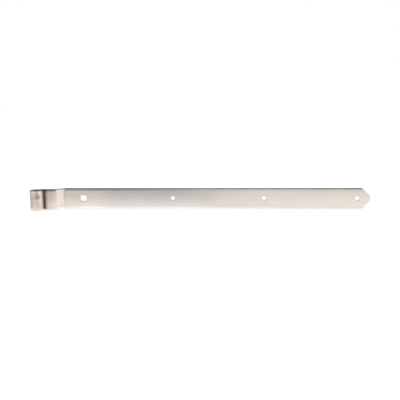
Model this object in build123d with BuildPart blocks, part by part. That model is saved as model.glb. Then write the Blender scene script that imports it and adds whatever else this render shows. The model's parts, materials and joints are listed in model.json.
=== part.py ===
# Hinge band: one flat steel bar, rolled into an eye at one end, cranked, punched and cut to a point.
# Millimetres. The origin is the middle of the eye, +Z runs along the pin, +X along the strap to
# its point, and the door is on the +Y side.

import os
from math import asin, degrees, radians, tan

from build123d import *

# Bar
bar_width = 30.0
bar_thickness = 5.0
overall_length = 500.0  # outside of the eye to the point
edge_radius = 1.2  # rounded long edges of the rolled bar

# Eye
pin_bore = 10.0
seam_gap = 0.25  # left open between the rolled end and the neck

# Crank, measured along the front face
neck_length = 17.0  # outside of the eye to the corner of the first bend
crank_offset = 10.0  # step towards the door
crank_angle = 45.0
bend_radius = 3.0  # inside of both bends

# Punched holes
square_hole = 8.5  # square neck of an M8 carriage bolt
square_hole_from_crank = 30.0  # corner of the second bend to its centre
screw_hole = 6.0
screw_hole_count = 3
last_hole_from_point = 18.0
hole_edge_break = 0.3

# Point
point_chamfer = 11.0  # both corners, at 45 degrees
point_corner_radius = 1.5  # on the two corners of the blunt nose
point_edge_break = 0.3  # both broad faces, along the cuts

# Eye and the four levels of the bar across the thickness
bore_radius = pin_bore / 2
eye_radius = bore_radius + bar_thickness
neck_front = bore_radius
neck_back = neck_front + bar_thickness
strap_front = neck_front + crank_offset
strap_back = strap_front + bar_thickness
point_x = overall_length - eye_radius
point_start = point_x - point_chamfer

# The roll runs from the neck (90 degrees) round the pin until its outer corner nearly meets the neck
roll_end_angle = degrees(asin((neck_front - seam_gap) / eye_radius))
roll_start_angle = 90.0
roll_sweep = 360.0 + roll_end_angle - roll_start_angle

# Corners of the crank, on the front face and on the back face
crank_run = crank_offset / tan(radians(crank_angle))
first_bend_x = eye_radius + neck_length
second_bend_x = first_bend_x + crank_run
corner_shift = bar_thickness * tan(radians(crank_angle / 2))
outer_bend_radius = bend_radius + bar_thickness

# Holes along the strap: the square one nearest the eye, then the round ones at an even pitch
square_hole_x = second_bend_x + square_hole_from_crank
hole_pitch = (point_x - last_hole_from_point - square_hole_x) / screw_hole_count
screw_hole_xs = [square_hole_x + hole_pitch * step for step in range(1, screw_hole_count + 1)]
strap_face = Plane(origin=(0, strap_front, 0), x_dir=(1, 0, 0), z_dir=(0, -1, 0))

with BuildPart() as hinge_band:
    # Side profile: the bar at its one thickness, from the rolled end to the point
    with BuildSketch(Plane.XY) as profile:
        with BuildLine():
            bore_arc = CenterArc((0, 0), bore_radius, roll_start_angle, roll_sweep)
            eye_arc = CenterArc((0, 0), eye_radius, roll_start_angle, roll_sweep)
            Line(bore_arc @ 1, eye_arc @ 1)
            front = FilletPolyline(
                bore_arc @ 0,
                (first_bend_x, neck_front),
                (second_bend_x, strap_front),
                (point_x, strap_front),
                radius=(outer_bend_radius, bend_radius),
            )
            back = FilletPolyline(
                eye_arc @ 0,
                (first_bend_x - corner_shift, neck_back),
                (second_bend_x - corner_shift, strap_back),
                (point_x, strap_back),
                radius=(bend_radius, outer_bend_radius),
            )
            Line(front @ 1, back @ 1)
        make_face()
    extrude(amount=bar_width / 2, both=True)

    # Point: both corners cut off, and the nose between them blunted
    chamfer(hinge_band.edges().filter_by(Axis.Y).group_by(Axis.X)[-1], length=point_chamfer)
    fillet(hinge_band.edges().filter_by(Axis.Y).group_by(Axis.X)[-1], radius=point_corner_radius)

    # Rounded edges of the bar, which also go round both ends of the eye and along its rolled end
    outline = hinge_band.edges().filter_by(Axis.Y, reverse=True).filter_by(Axis.Z, reverse=True)
    fillet(outline.filter_by(lambda edge: edge.center().X < point_start), radius=edge_radius)

    # Finer edges along the cuts of the point
    face_edges = hinge_band.edges().filter_by(Plane.XZ)
    fillet(face_edges.filter_by(lambda edge: edge.center().X > point_start), radius=point_edge_break)

    # Square hole for a carriage bolt
    with BuildSketch(strap_face):
        with Locations((square_hole_x, 0)):
            Rectangle(square_hole, square_hole)
    extrude(amount=-bar_thickness, mode=Mode.SUBTRACT)
    square_rims = hinge_band.edges(Select.LAST).filter_by(Plane.XZ)
    chamfer(square_rims, length=hole_edge_break)

    # Round screw holes
    with Locations(strap_face):
        with Locations(*[(x, 0) for x in screw_hole_xs]):
            Hole(screw_hole / 2)
    round_rims = hinge_band.edges(Select.LAST).filter_by(GeomType.CIRCLE)
    chamfer(round_rims, length=hole_edge_break)

hinge_band.part.label = "hinge_band"

os.makedirs("parts", exist_ok=True)
export_step(hinge_band.part, "parts/hinge_band.step")
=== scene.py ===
# Satin steel hinge band, standing on its lower edge on a white table.
import json
import math

import bpy
from mathutils import Matrix, Vector


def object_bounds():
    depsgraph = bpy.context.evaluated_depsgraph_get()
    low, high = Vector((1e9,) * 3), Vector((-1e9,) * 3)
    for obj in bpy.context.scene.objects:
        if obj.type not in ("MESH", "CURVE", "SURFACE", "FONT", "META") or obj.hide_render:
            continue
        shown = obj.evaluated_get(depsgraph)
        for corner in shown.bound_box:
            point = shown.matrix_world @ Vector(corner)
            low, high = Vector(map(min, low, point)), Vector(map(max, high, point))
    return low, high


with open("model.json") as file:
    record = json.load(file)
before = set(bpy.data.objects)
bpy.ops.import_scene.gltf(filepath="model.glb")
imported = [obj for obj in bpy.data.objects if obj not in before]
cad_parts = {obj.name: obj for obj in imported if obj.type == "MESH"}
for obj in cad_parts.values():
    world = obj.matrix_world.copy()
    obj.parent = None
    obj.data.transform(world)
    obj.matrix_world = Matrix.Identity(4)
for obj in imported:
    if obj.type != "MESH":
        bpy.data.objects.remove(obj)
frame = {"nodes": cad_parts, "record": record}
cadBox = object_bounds()
mm = 0.001
white = (1, 1, 1, 1)
print("frame loaded:", ", ".join(sorted(frame["nodes"])))


# Small helpers for shader trees
def newMaterial(name):
    material = bpy.data.materials.new(name)
    material.use_nodes = True
    material.node_tree.nodes.clear()
    return material, material.node_tree


def plug(tree, value, socket):
    if isinstance(value, bpy.types.NodeSocket):
        tree.links.new(value, socket)
    else:
        socket.default_value = value


def addNode(tree, kind, values=None, **settings):
    node = tree.nodes.new(kind)
    for key, value in settings.items():
        setattr(node, key, value)
    for key, value in (values or {}).items():
        plug(tree, value, node.inputs[key])
    return node


def mathNode(tree, operation, *terms):
    return addNode(tree, "ShaderNodeMath", dict(enumerate(terms)), operation=operation).outputs[0]


def vectorNode(tree, operation, *terms):
    outputs = addNode(tree, "ShaderNodeVectorMath", dict(enumerate(terms)), operation=operation).outputs
    return outputs["Value" if operation == "LENGTH" else "Vector"]


def softStep(tree, value, low, high, atLow=0.0, atHigh=1.0):
    values = {"Value": value, "From Min": low, "From Max": high, "To Min": atLow, "To Max": atHigh}
    return addNode(tree, "ShaderNodeMapRange", values, interpolation_type="SMOOTHSTEP").outputs[0]


def within(tree, value, reach):
    # 1 up to where the reach begins, 0 from where it ends
    return softStep(tree, value, *reach, 1.0, 0.0)


def mixValue(tree, factor, first, second):
    return addNode(tree, "ShaderNodeMix", {"Factor": factor, "A": first, "B": second}).outputs[0]


def mixColour(tree, factor, first, second, how="MIX"):
    node = addNode(tree, "ShaderNodeMix", data_type="RGBA", blend_type=how)
    for name, value in (("Factor_Float", factor), ("A_Color", first), ("B_Color", second)):
        plug(tree, value, next(socket for socket in node.inputs if socket.identifier == name))
    return next(socket for socket in node.outputs if socket.identifier == "Result_Color")


def ramp(tree, value, stops):
    low, high = stops[0][0], stops[-1][0]
    values = {"Value": value, "From Min": low, "From Max": high}
    share = addNode(tree, "ShaderNodeMapRange", values).outputs[0]
    node = addNode(tree, "ShaderNodeValToRGB", {"Fac": share})
    elements = node.color_ramp.elements
    while len(elements) < len(stops):
        elements.new(1.0)
    for element, (stop, colour) in zip(elements, stops):
        element.position = (stop - low) / (high - low)
        element.color = (*colour, 1) if isinstance(colour, tuple) else (colour, colour, colour, 1)
    return node.outputs["Color"]


def noise(tree, place, pattern):
    mapped = addNode(tree, "ShaderNodeMapping", {"Vector": place, "Scale": pattern["stretch"]}).outputs[0]
    values = {"Vector": mapped, "Scale": 1.0, "Detail": pattern["detail"]}
    values["Roughness"] = pattern.get("fineness", 0.5)
    return addNode(tree, "ShaderNodeTexNoise", values).outputs["Fac"]


def apart(tree, place, point, size=(1, 1, 1)):
    # distance from a point, a line where one size is 0, or an ellipsoid
    offset = vectorNode(tree, "SUBTRACT", place, point)
    scale = tuple(1 / side if side else 0 for side in size)
    return vectorNode(tree, "LENGTH", vectorNode(tree, "MULTIPLY", offset, scale))


def offMiddle(tree, pattern):
    # a pattern from 0 to 1, less its middle
    return mathNode(tree, "SUBTRACT", pattern, 0.5)


def swing(tree, pattern, amount, zone=1.0):
    # a factor from 1 - amount to 1 + amount, as the pattern goes from 0 to 1
    width = mathNode(tree, "MULTIPLY", zone, 2 * amount)
    return mathNode(tree, "ADD", mathNode(tree, "MULTIPLY", offMiddle(tree, pattern), width), 1.0)


def mottle(tree, place, pattern, zone):
    return swing(tree, noise(tree, place, pattern), pattern["colour"], zone)


def fade(tree, zone, amount):
    # 1 outside the zone and less by amount in it
    return mathNode(tree, "SUBTRACT", 1.0, mathNode(tree, "MULTIPLY", zone, amount))


def lift(tree, zone, amount):
    return fade(tree, zone, -amount)


# The view of the photograph
view = {
    "distance": 1000 * mm,
    "azimuth": 4.86,
    "elevation": 9.3,
    "roll": -0.75,
    "focalPixels": 674.6,
    "framePixels": 400,
    "target": (242.6 * mm, 15 * mm, -2.3 * mm),
    "clipStart": 10 * mm,
}


def makeCamera():
    azimuth = math.radians(view["azimuth"])
    elevation = math.radians(view["elevation"])
    roll = math.radians(view["roll"])
    level = Vector((math.cos(azimuth), math.sin(azimuth), 0))
    back = Vector((0, 0, 1)).cross(level) * -math.cos(elevation) + Vector((0, 0, math.sin(elevation)))
    above = back.cross(level)
    right = level * math.cos(roll) + above * math.sin(roll)
    up = back.cross(right)
    data = bpy.data.cameras.new("photoCamera")
    data.sensor_fit = "HORIZONTAL"
    data.lens = data.sensor_width * view["focalPixels"] / view["framePixels"]
    data.clip_start = view["clipStart"]
    camera = bpy.data.objects.new("photoCamera", data)
    place = Vector(view["target"]) + back * view["distance"]
    camera.matrix_world = Matrix.Translation(place) @ Matrix((right, up, back)).transposed().to_4x4()
    bpy.context.collection.objects.link(camera)
    bpy.context.scene.camera = camera
    print("camera ready")


# White table and room
stage = {
    "floorSize": 12.0,
    "floorGrey": 0.8,
    "glowNear": 0.53,
    "glowFar": 0.66,
    "glowReach": (0.4, 1.6),  # metres from the middle of the band
    "mirroredGlow": 0.25,  # what steel shows of it
    "roomFill": 0.52,
    "roomSeen": 1.0,
    "wallInMirrors": 1.0,
    "ceilingInMirrors": 0.08,
    "ceilingFrom": (0.04, 0.24),  # upward share of the direction
}


def bySight(tree, unseen, mirrored, seen):
    # one value for diffuse light, one for reflections and one for the camera
    path = addNode(tree, "ShaderNodeLightPath").outputs
    shiny = mathNode(tree, "MAXIMUM", path["Is Glossy Ray"], path["Is Transmission Ray"])
    return mixValue(tree, path["Is Camera Ray"], mixValue(tree, shiny, unseen, mirrored), seen)


def makeRoom():
    world = bpy.data.worlds.new("whiteRoom")
    world.use_nodes = True
    tree = world.node_tree
    tree.nodes.clear()
    direction = addNode(tree, "ShaderNodeTexCoord").outputs["Generated"]
    upward = addNode(tree, "ShaderNodeSeparateXYZ", {"Vector": direction}).outputs["Z"]
    wallAndCeiling = stage["wallInMirrors"], stage["ceilingInMirrors"]
    mirrored = softStep(tree, upward, *stage["ceilingFrom"], *wallAndCeiling)
    strength = bySight(tree, stage["roomFill"], mirrored, stage["roomSeen"])
    background = addNode(tree, "ShaderNodeBackground", {"Color": white, "Strength": strength})
    addNode(tree, "ShaderNodeOutputWorld", {"Surface": background.outputs[0]})
    bpy.context.scene.world = world
    print("room ready")


def makeTable():
    material, tree = newMaterial("whiteTable")
    place = addNode(tree, "ShaderNodeTexCoord").outputs["Object"]
    away = apart(tree, place, view["target"])
    seen = softStep(tree, away, *stage["glowReach"], stage["glowNear"], stage["glowFar"])
    glow = bySight(tree, 0.0, stage["mirroredGlow"], seen)
    matte = addNode(tree, "ShaderNodeBsdfDiffuse", {"Color": (stage["floorGrey"],) * 3 + (1,)})
    shine = addNode(tree, "ShaderNodeEmission", {"Color": white, "Strength": glow})
    both = addNode(tree, "ShaderNodeAddShader", {0: matte.outputs[0], 1: shine.outputs[0]})
    addNode(tree, "ShaderNodeOutputMaterial", {"Surface": both.outputs[0]})

    half = stage["floorSize"] / 2
    low = cadBox[0][2]
    corners = [(-half, -half, low), (half, -half, low), (half, half, low), (-half, half, low)]
    mesh = bpy.data.meshes.new("tableTop")
    mesh.from_pydata(corners, [], [(0, 1, 2, 3)])
    mesh.materials.append(material)
    table = bpy.data.objects.new("tableTop", mesh)
    bpy.context.collection.objects.link(table)
    print("table ready")


# Soft lamps, in millimetres and watts
stripGap = 0.04  # above the table
stripAim = 500  # straight up


def strip(left, right, front, back, watts):
    # faces upwards, as the light that the table throws back
    middle = ((left + right) / 2, (front + back) / 2)
    place = (*middle, cadBox[0][2] / mm + stripGap)
    size = (right - left, back - front)
    return {"place": place, "aim": (*middle, stripAim), "size": size, "watts": watts}


lamps = {
    "right": {"place": (1250, -420, 260), "aim": (250, 10, 0), "size": (700, 560), "watts": 1.5},
    "left": {"place": (-700, -1100, 300), "aim": (150, 10, 0), "size": (700, 560), "watts": 2.3},
    "tableLeft": strip(-26, 28, -62, 10, 0.0076),
    "tableNearLeft": strip(28, 58, -48, 16, 0.0039),
    "tableNear": strip(58, 220, -48, 16, 0.0287),
    "tableNearRight": strip(220, 520, -48, 16, 0.0467),
    "tableMiddle": strip(36, 255, -116, -48, 0.0154),
    "tableRight": strip(255, 540, -190, -48, 0.0941),
    "tableBack": strip(-30, 510, 22, 102, 0.0611),
    "above": {"place": (240, 400, 1200), "aim": (240, 0, 0), "size": (1200, 500), "watts": 3.0},
}


def makeLamps():
    for name, lamp in lamps.items():
        data = bpy.data.lights.new(name, "AREA")
        data.shape = "RECTANGLE"
        data.size, data.size_y = (side * mm for side in lamp["size"])
        data.energy = lamp["watts"]
        light = bpy.data.objects.new(name, data)
        place = Vector(lamp["place"]) * mm
        aim = Vector(lamp["aim"]) * mm - place
        light.rotation_euler = aim.to_track_quat("-Z", "Y").to_euler()
        light.location = place
        light.visible_camera = False
        bpy.context.collection.objects.link(light)
    print("lamps ready:", len(lamps))


# Satin stainless steel, with places and lengths in millimetres
steel = {
    "tones": (  # place along the bar, colour with painted light and shade
        (-10, (0.665, 0.575, 0.522)),
        (-1, (0.625, 0.540, 0.490)),
        (5, (0.545, 0.474, 0.431)),
        (12, (0.572, 0.493, 0.447)),
        (21, (0.584, 0.503, 0.457)),
        (25, (0.680, 0.600, 0.540)),
        (29, (0.580, 0.515, 0.465)),
        (34, (0.545, 0.490, 0.445)),
        (42, (0.628, 0.564, 0.510)),
        (70, (0.582, 0.528, 0.482)),
        (110, (0.500, 0.468, 0.446)),
        (200, (0.495, 0.474, 0.453)),
        (235, (0.535, 0.502, 0.470)),
        (290, (0.532, 0.492, 0.456)),
        (340, (0.560, 0.515, 0.472)),
        (490, (0.575, 0.528, 0.475)),
    ),
    "roughness": 0.28,
    "grain": {
        "stretch": (0.012, 0.012, 3.2),
        "detail": 5.0,
        "fineness": 0.65,
        "colour": 0.12,
        "roughness": 0.12,
        "height": 0.010,
    },
    "bands": {"stretch": (0.004, 0.004, 0.45), "detail": 3.0, "colour": 0.06},
    "clouds": {"stretch": (0.035, 0.035, 0.06), "detail": 3.0, "colour": 0.08, "roughness": 0.08},
    "speckle": {"stretch": (1.3, 1.3, 1.3), "detail": 2.0, "colour": 0.08, "height": 0.006},
    "scratches": {
        "stretch": (0.016, 0.016, 0.42),
        "detail": 1.0,
        "width": 0.004,
        "cloudy": (0.54, 0.62),  # they show only where the clouds are light
        "colour": 0.10,
    },
}


def steelPatterns(tree, place):
    patterns = {name: noise(tree, place, steel[name]) for name in ("grain", "bands", "clouds", "speckle")}
    lines = mathNode(tree, "ABSOLUTE", offMiddle(tree, noise(tree, place, steel["scratches"])))
    lines = within(tree, lines, (0.0, steel["scratches"]["width"]))
    scuffed = softStep(tree, patterns["clouds"], *steel["scratches"]["cloudy"])
    patterns["scratches"] = mathNode(tree, "MULTIPLY", lines, scuffed)
    return patterns


# Cut edges along the top and the bottom of the bar, with painted shade and painted highlights along the top
# and a painted reflection of the table along the lower face
cutEdges = {
    "upperShading": (9.5, 15.2),  # above the middle, where the painted shade and extra roughness of the top edge begin and where they are whole
    "lower": (14.8, 14.95),  # the same below the middle
    "lowerSheen": (10.8, 14.4),  # below the middle, where the painted reflection of the bright table begins and where it is whole
    "lowerSheenShare": (  # place along the bar, share of the painted reflection
        (-10, 0.00),
        (1, 0.00),
        (5, 0.28),
        (9, 0.28),
        (12, 0.05),
        (27, 0.08),
        (30, 0.42),
        (36, 0.42),
        (39, 0.12),
        (60, 0.18),
        (90, 0.28),
        (220, 0.28),
        (420, 0.00),
    ),
    "tones": (  # place along the bar, share of the steel's colour: painted shade below 1, painted highlight above 1 on the eye's top rim and the slope's top edge
        (-10, 1.45),
        (0, 1.40),
        (4, 1.10),
        (6.5, 1.20),
        (8.8, 1.85),
        (10, 0.25),
        (26, 0.25),
        (29, 1.30),
        (37, 1.30),
        (40, 0.35),
        (110, 0.39),
        (160, 0.55),
        (240, 0.86),
        (490, 0.86),
    ),
    "roughness": 0.18,
    "marks": {"stretch": (2.2, 2.2, 0.05), "detail": 3.0, "colour": 0.5},
}


def edgeZones(tree, along, upward):
    # a zone is 1 where its mark lies and 0 elsewhere, here and below
    downward = mathNode(tree, "MULTIPLY", upward, -1.0)
    # the top edge's painted shade and highlights, with extra roughness; the same tones on the thin cut edge
    # below
    upperShaded = softStep(tree, upward, *cutEdges["upperShading"])
    lowerCut = softStep(tree, downward, *cutEdges["lower"])
    # painted reflection of the bright table along the lower face
    lowerSheen = softStep(tree, downward, *cutEdges["lowerSheen"])
    return {
        "cut": mathNode(tree, "MAXIMUM", upperShaded, lowerCut),
        "lowerSheen": mathNode(tree, "MULTIPLY", lowerSheen, ramp(tree, along, cutEdges["lowerSheenShare"])),
    }


# Rolled eye, with the lines of the roll, a dark patch, painted shade along the seam and painted shade
# inside the bore
eye = {
    "reach": (8, 12),  # along the bar, where its marks begin to fade and where they end
    "rollLines": {"stretch": (0.03, 0.03, 0.30), "detail": 3.0, "colour": 0.30},
    # a darker patch on the eye's front
    "darkPatch": {
        "middle": (4.7, -9.0, 5.9),
        "size": (6.2, 5, 4.8),
        "reach": (0.1, 1.1),  # shares of the size
        "ragged": 0.9,
        "dark": 0.33,
    },
    # painted shade in the crevice between the eye and the neck
    "seamShade": {"line": (8.7, 5.0, 0), "reach": (0.3, 7.7), "dark": 0.63},
    "darkTint": (1.0, 0.93, 0.86),  # warm tint of the dark patch and of the painted seam shade
    "bore": {"reach": (5.05, 5.4), "dark": 0.35, "roughness": 0.12},  # from the eye's axis; painted shade inside the bore, which is also rougher
}


def eyeZones(tree, place, along, speckle):
    darkPatch = apart(tree, place, eye["darkPatch"]["middle"], eye["darkPatch"]["size"])
    ragged = mathNode(tree, "MULTIPLY", offMiddle(tree, speckle), eye["darkPatch"]["ragged"])
    fromSeam = apart(tree, place, eye["seamShade"]["line"], (1, 1, 0))
    fromAxis = apart(tree, place, (0, 0, 0), (1, 1, 0))
    return {
        "rolled": within(tree, along, eye["reach"]),
        "darkPatch": within(tree, mathNode(tree, "ADD", darkPatch, ragged), eye["darkPatch"]["reach"]),
        "seamShade": within(tree, fromSeam, eye["seamShade"]["reach"]),
        "bore": within(tree, fromAxis, eye["bore"]["reach"]),
    }


# Neck and crank, with the marks of bending
crank = {
    "reach": (36, 54),  # along the bar, as for the eye
    "marks": {"stretch": (1.5, 1.5, 0.03), "detail": 2.0, "colour": 0.12},
}


def crankZone(tree, along, rolled):
    return mathNode(tree, "MULTIPLY", within(tree, along, crank["reach"]), fade(tree, rolled, 1.0))


# Punched holes, with painted reflection on their torn walls and a painted highlight on their rims
holes = {
    "halfSide": 4.25,  # of the square one
    "wall": (0.15, 0.32),  # outside the hole's own size
    # painted reflection of the bright room on the hole walls
    "wallPaintedLight": 0.65,
    "wallMatt": 0.55,  # torn steel, no longer bright
    "rim": (0.30, 0.45),
    # painted highlight on the hole rims
    "rimPaintedLight": 0.12,
}
mounts = {mount["name"]: mount for mount in frame["record"]["mounts"]}


def fromHoles(tree, place):
    # how far each point of the face lies outside the nearest hole
    squareX, middleX = (mounts[name]["pos_m"][0] / mm for name in ("square_hole", "middle_screw_hole"))
    step = mounts["screw_holes"]["dims"]["spacing_x_mm"] / 2
    radius = mounts["middle_screw_hole"]["dims"]["r_mm"]
    offset = vectorNode(tree, "SUBTRACT", place, (squareX, 0, 0))
    sides = addNode(tree, "ShaderNodeSeparateXYZ", {0: vectorNode(tree, "ABSOLUTE", offset)}).outputs
    longer = mathNode(tree, "MAXIMUM", sides["X"], sides["Z"])
    nearest = mathNode(tree, "SUBTRACT", longer, holes["halfSide"])
    for x in (middleX - step, middleX, middleX + step):
        outside = mathNode(tree, "SUBTRACT", apart(tree, place, (x, 0, 0), (1, 0, 1)), radius)
        nearest = mathNode(tree, "MINIMUM", nearest, outside)
    return nearest


def holeZones(tree, place):
    outside = fromHoles(tree, place)
    wall = within(tree, outside, holes["wall"])
    rim = within(tree, outside, holes["rim"])
    return {"wall": wall, "rim": mathNode(tree, "MULTIPLY", rim, fade(tree, wall, 1.0))}


# The steel of all areas put together
def steelColour(tree, place, along, patterns, zones):
    factors = (
        swing(tree, patterns["bands"], steel["bands"]["colour"]),
        swing(tree, patterns["clouds"], steel["clouds"]["colour"]),
        swing(tree, patterns["speckle"], steel["speckle"]["colour"]),
        mottle(tree, place, eye["rollLines"], zones["rolled"]),
        mottle(tree, place, crank["marks"], zones["bent"]),
        mottle(tree, place, cutEdges["marks"], zones["cut"]),
        lift(tree, patterns["scratches"], steel["scratches"]["colour"]),
        # painted reflection of the table along the lower face
        lift(tree, zones["lowerSheen"], 1.0),
        # a dark patch on the eye's front
        fade(tree, zones["darkPatch"], eye["darkPatch"]["dark"]),
        # painted shade in the crevice between the eye and the neck
        fade(tree, zones["seamShade"], eye["seamShade"]["dark"]),
        # painted shade inside the bore
        fade(tree, zones["bore"], eye["bore"]["dark"]),
        # painted reflection of the bright room on the hole walls
        lift(tree, zones["wall"], holes["wallPaintedLight"]),
        # painted highlight on the hole rims
        lift(tree, zones["rim"], holes["rimPaintedLight"]),
    )
    shade = swing(tree, patterns["grain"], steel["grain"]["colour"])
    for factor in factors:
        shade = mathNode(tree, "MULTIPLY", shade, factor)

    # painted shade and painted highlights along the top edge, by the tones along the bar
    edgeShade = mixColour(tree, zones["cut"], white, ramp(tree, along, cutEdges["tones"]))
    # warm tint over the dark patch and the painted seam shade
    darkened = mathNode(tree, "MAXIMUM", zones["darkPatch"], zones["seamShade"])
    darkTint = mixColour(tree, darkened, white, (*eye["darkTint"], 1))
    shades = addNode(tree, "ShaderNodeCombineXYZ", {"X": shade, "Y": shade, "Z": shade}).outputs[0]
    colour = ramp(tree, along, steel["tones"])
    for tint in (edgeShade, darkTint, shades):
        colour = mixColour(tree, 1.0, colour, tint, "MULTIPLY")
    return colour


def steelRoughness(tree, patterns, zones):
    grain = swing(tree, patterns["grain"], steel["grain"]["roughness"])
    clouds = swing(tree, patterns["clouds"], steel["clouds"]["roughness"])
    rough = mathNode(tree, "MULTIPLY", mathNode(tree, "MULTIPLY", grain, steel["roughness"]), clouds)
    rough = mathNode(tree, "ADD", rough, mathNode(tree, "MULTIPLY", zones["cut"], cutEdges["roughness"]))
    return mathNode(tree, "ADD", rough, mathNode(tree, "MULTIPLY", zones["bore"], eye["bore"]["roughness"]))


def steelRelief(tree, patterns):
    height = mathNode(tree, "MULTIPLY", patterns["grain"], steel["grain"]["height"])
    height = mathNode(tree, "MULTIPLY_ADD", patterns["speckle"], steel["speckle"]["height"], height)
    return addNode(tree, "ShaderNodeBump", {"Height": height, "Distance": mm, "Strength": 1.0}).outputs[0]


def makeSteel():
    material, tree = newMaterial("satinSteel")
    place = addNode(tree, "ShaderNodeTexCoord").outputs["Object"]
    place = addNode(tree, "ShaderNodeMapping", {"Vector": place, "Scale": (1 / mm,) * 3}).outputs[0]
    sides = addNode(tree, "ShaderNodeSeparateXYZ", {0: place}).outputs
    along, upward = sides["X"], sides["Z"]
    patterns = steelPatterns(tree, place)
    zones = edgeZones(tree, along, upward) | eyeZones(tree, place, along, patterns["speckle"])
    zones |= holeZones(tree, place)
    zones["bent"] = crankZone(tree, along, zones["rolled"])
    values = {
        "Base Color": steelColour(tree, place, along, patterns, zones),
        "Metallic": fade(tree, zones["wall"], holes["wallMatt"]),
        "Roughness": steelRoughness(tree, patterns, zones),
        "Normal": steelRelief(tree, patterns),
    }
    shader = addNode(tree, "ShaderNodeBsdfPrincipled", values)
    addNode(tree, "ShaderNodeOutputMaterial", {"Surface": shader.outputs[0]})
    return material


makeCamera()
makeRoom()
makeTable()
makeLamps()
band = frame["nodes"]["hinge_band"]
band.data.materials.clear()
band.data.materials.append(makeSteel())
print("steel ready")

bpy.context.scene.view_settings.view_transform = "Standard"
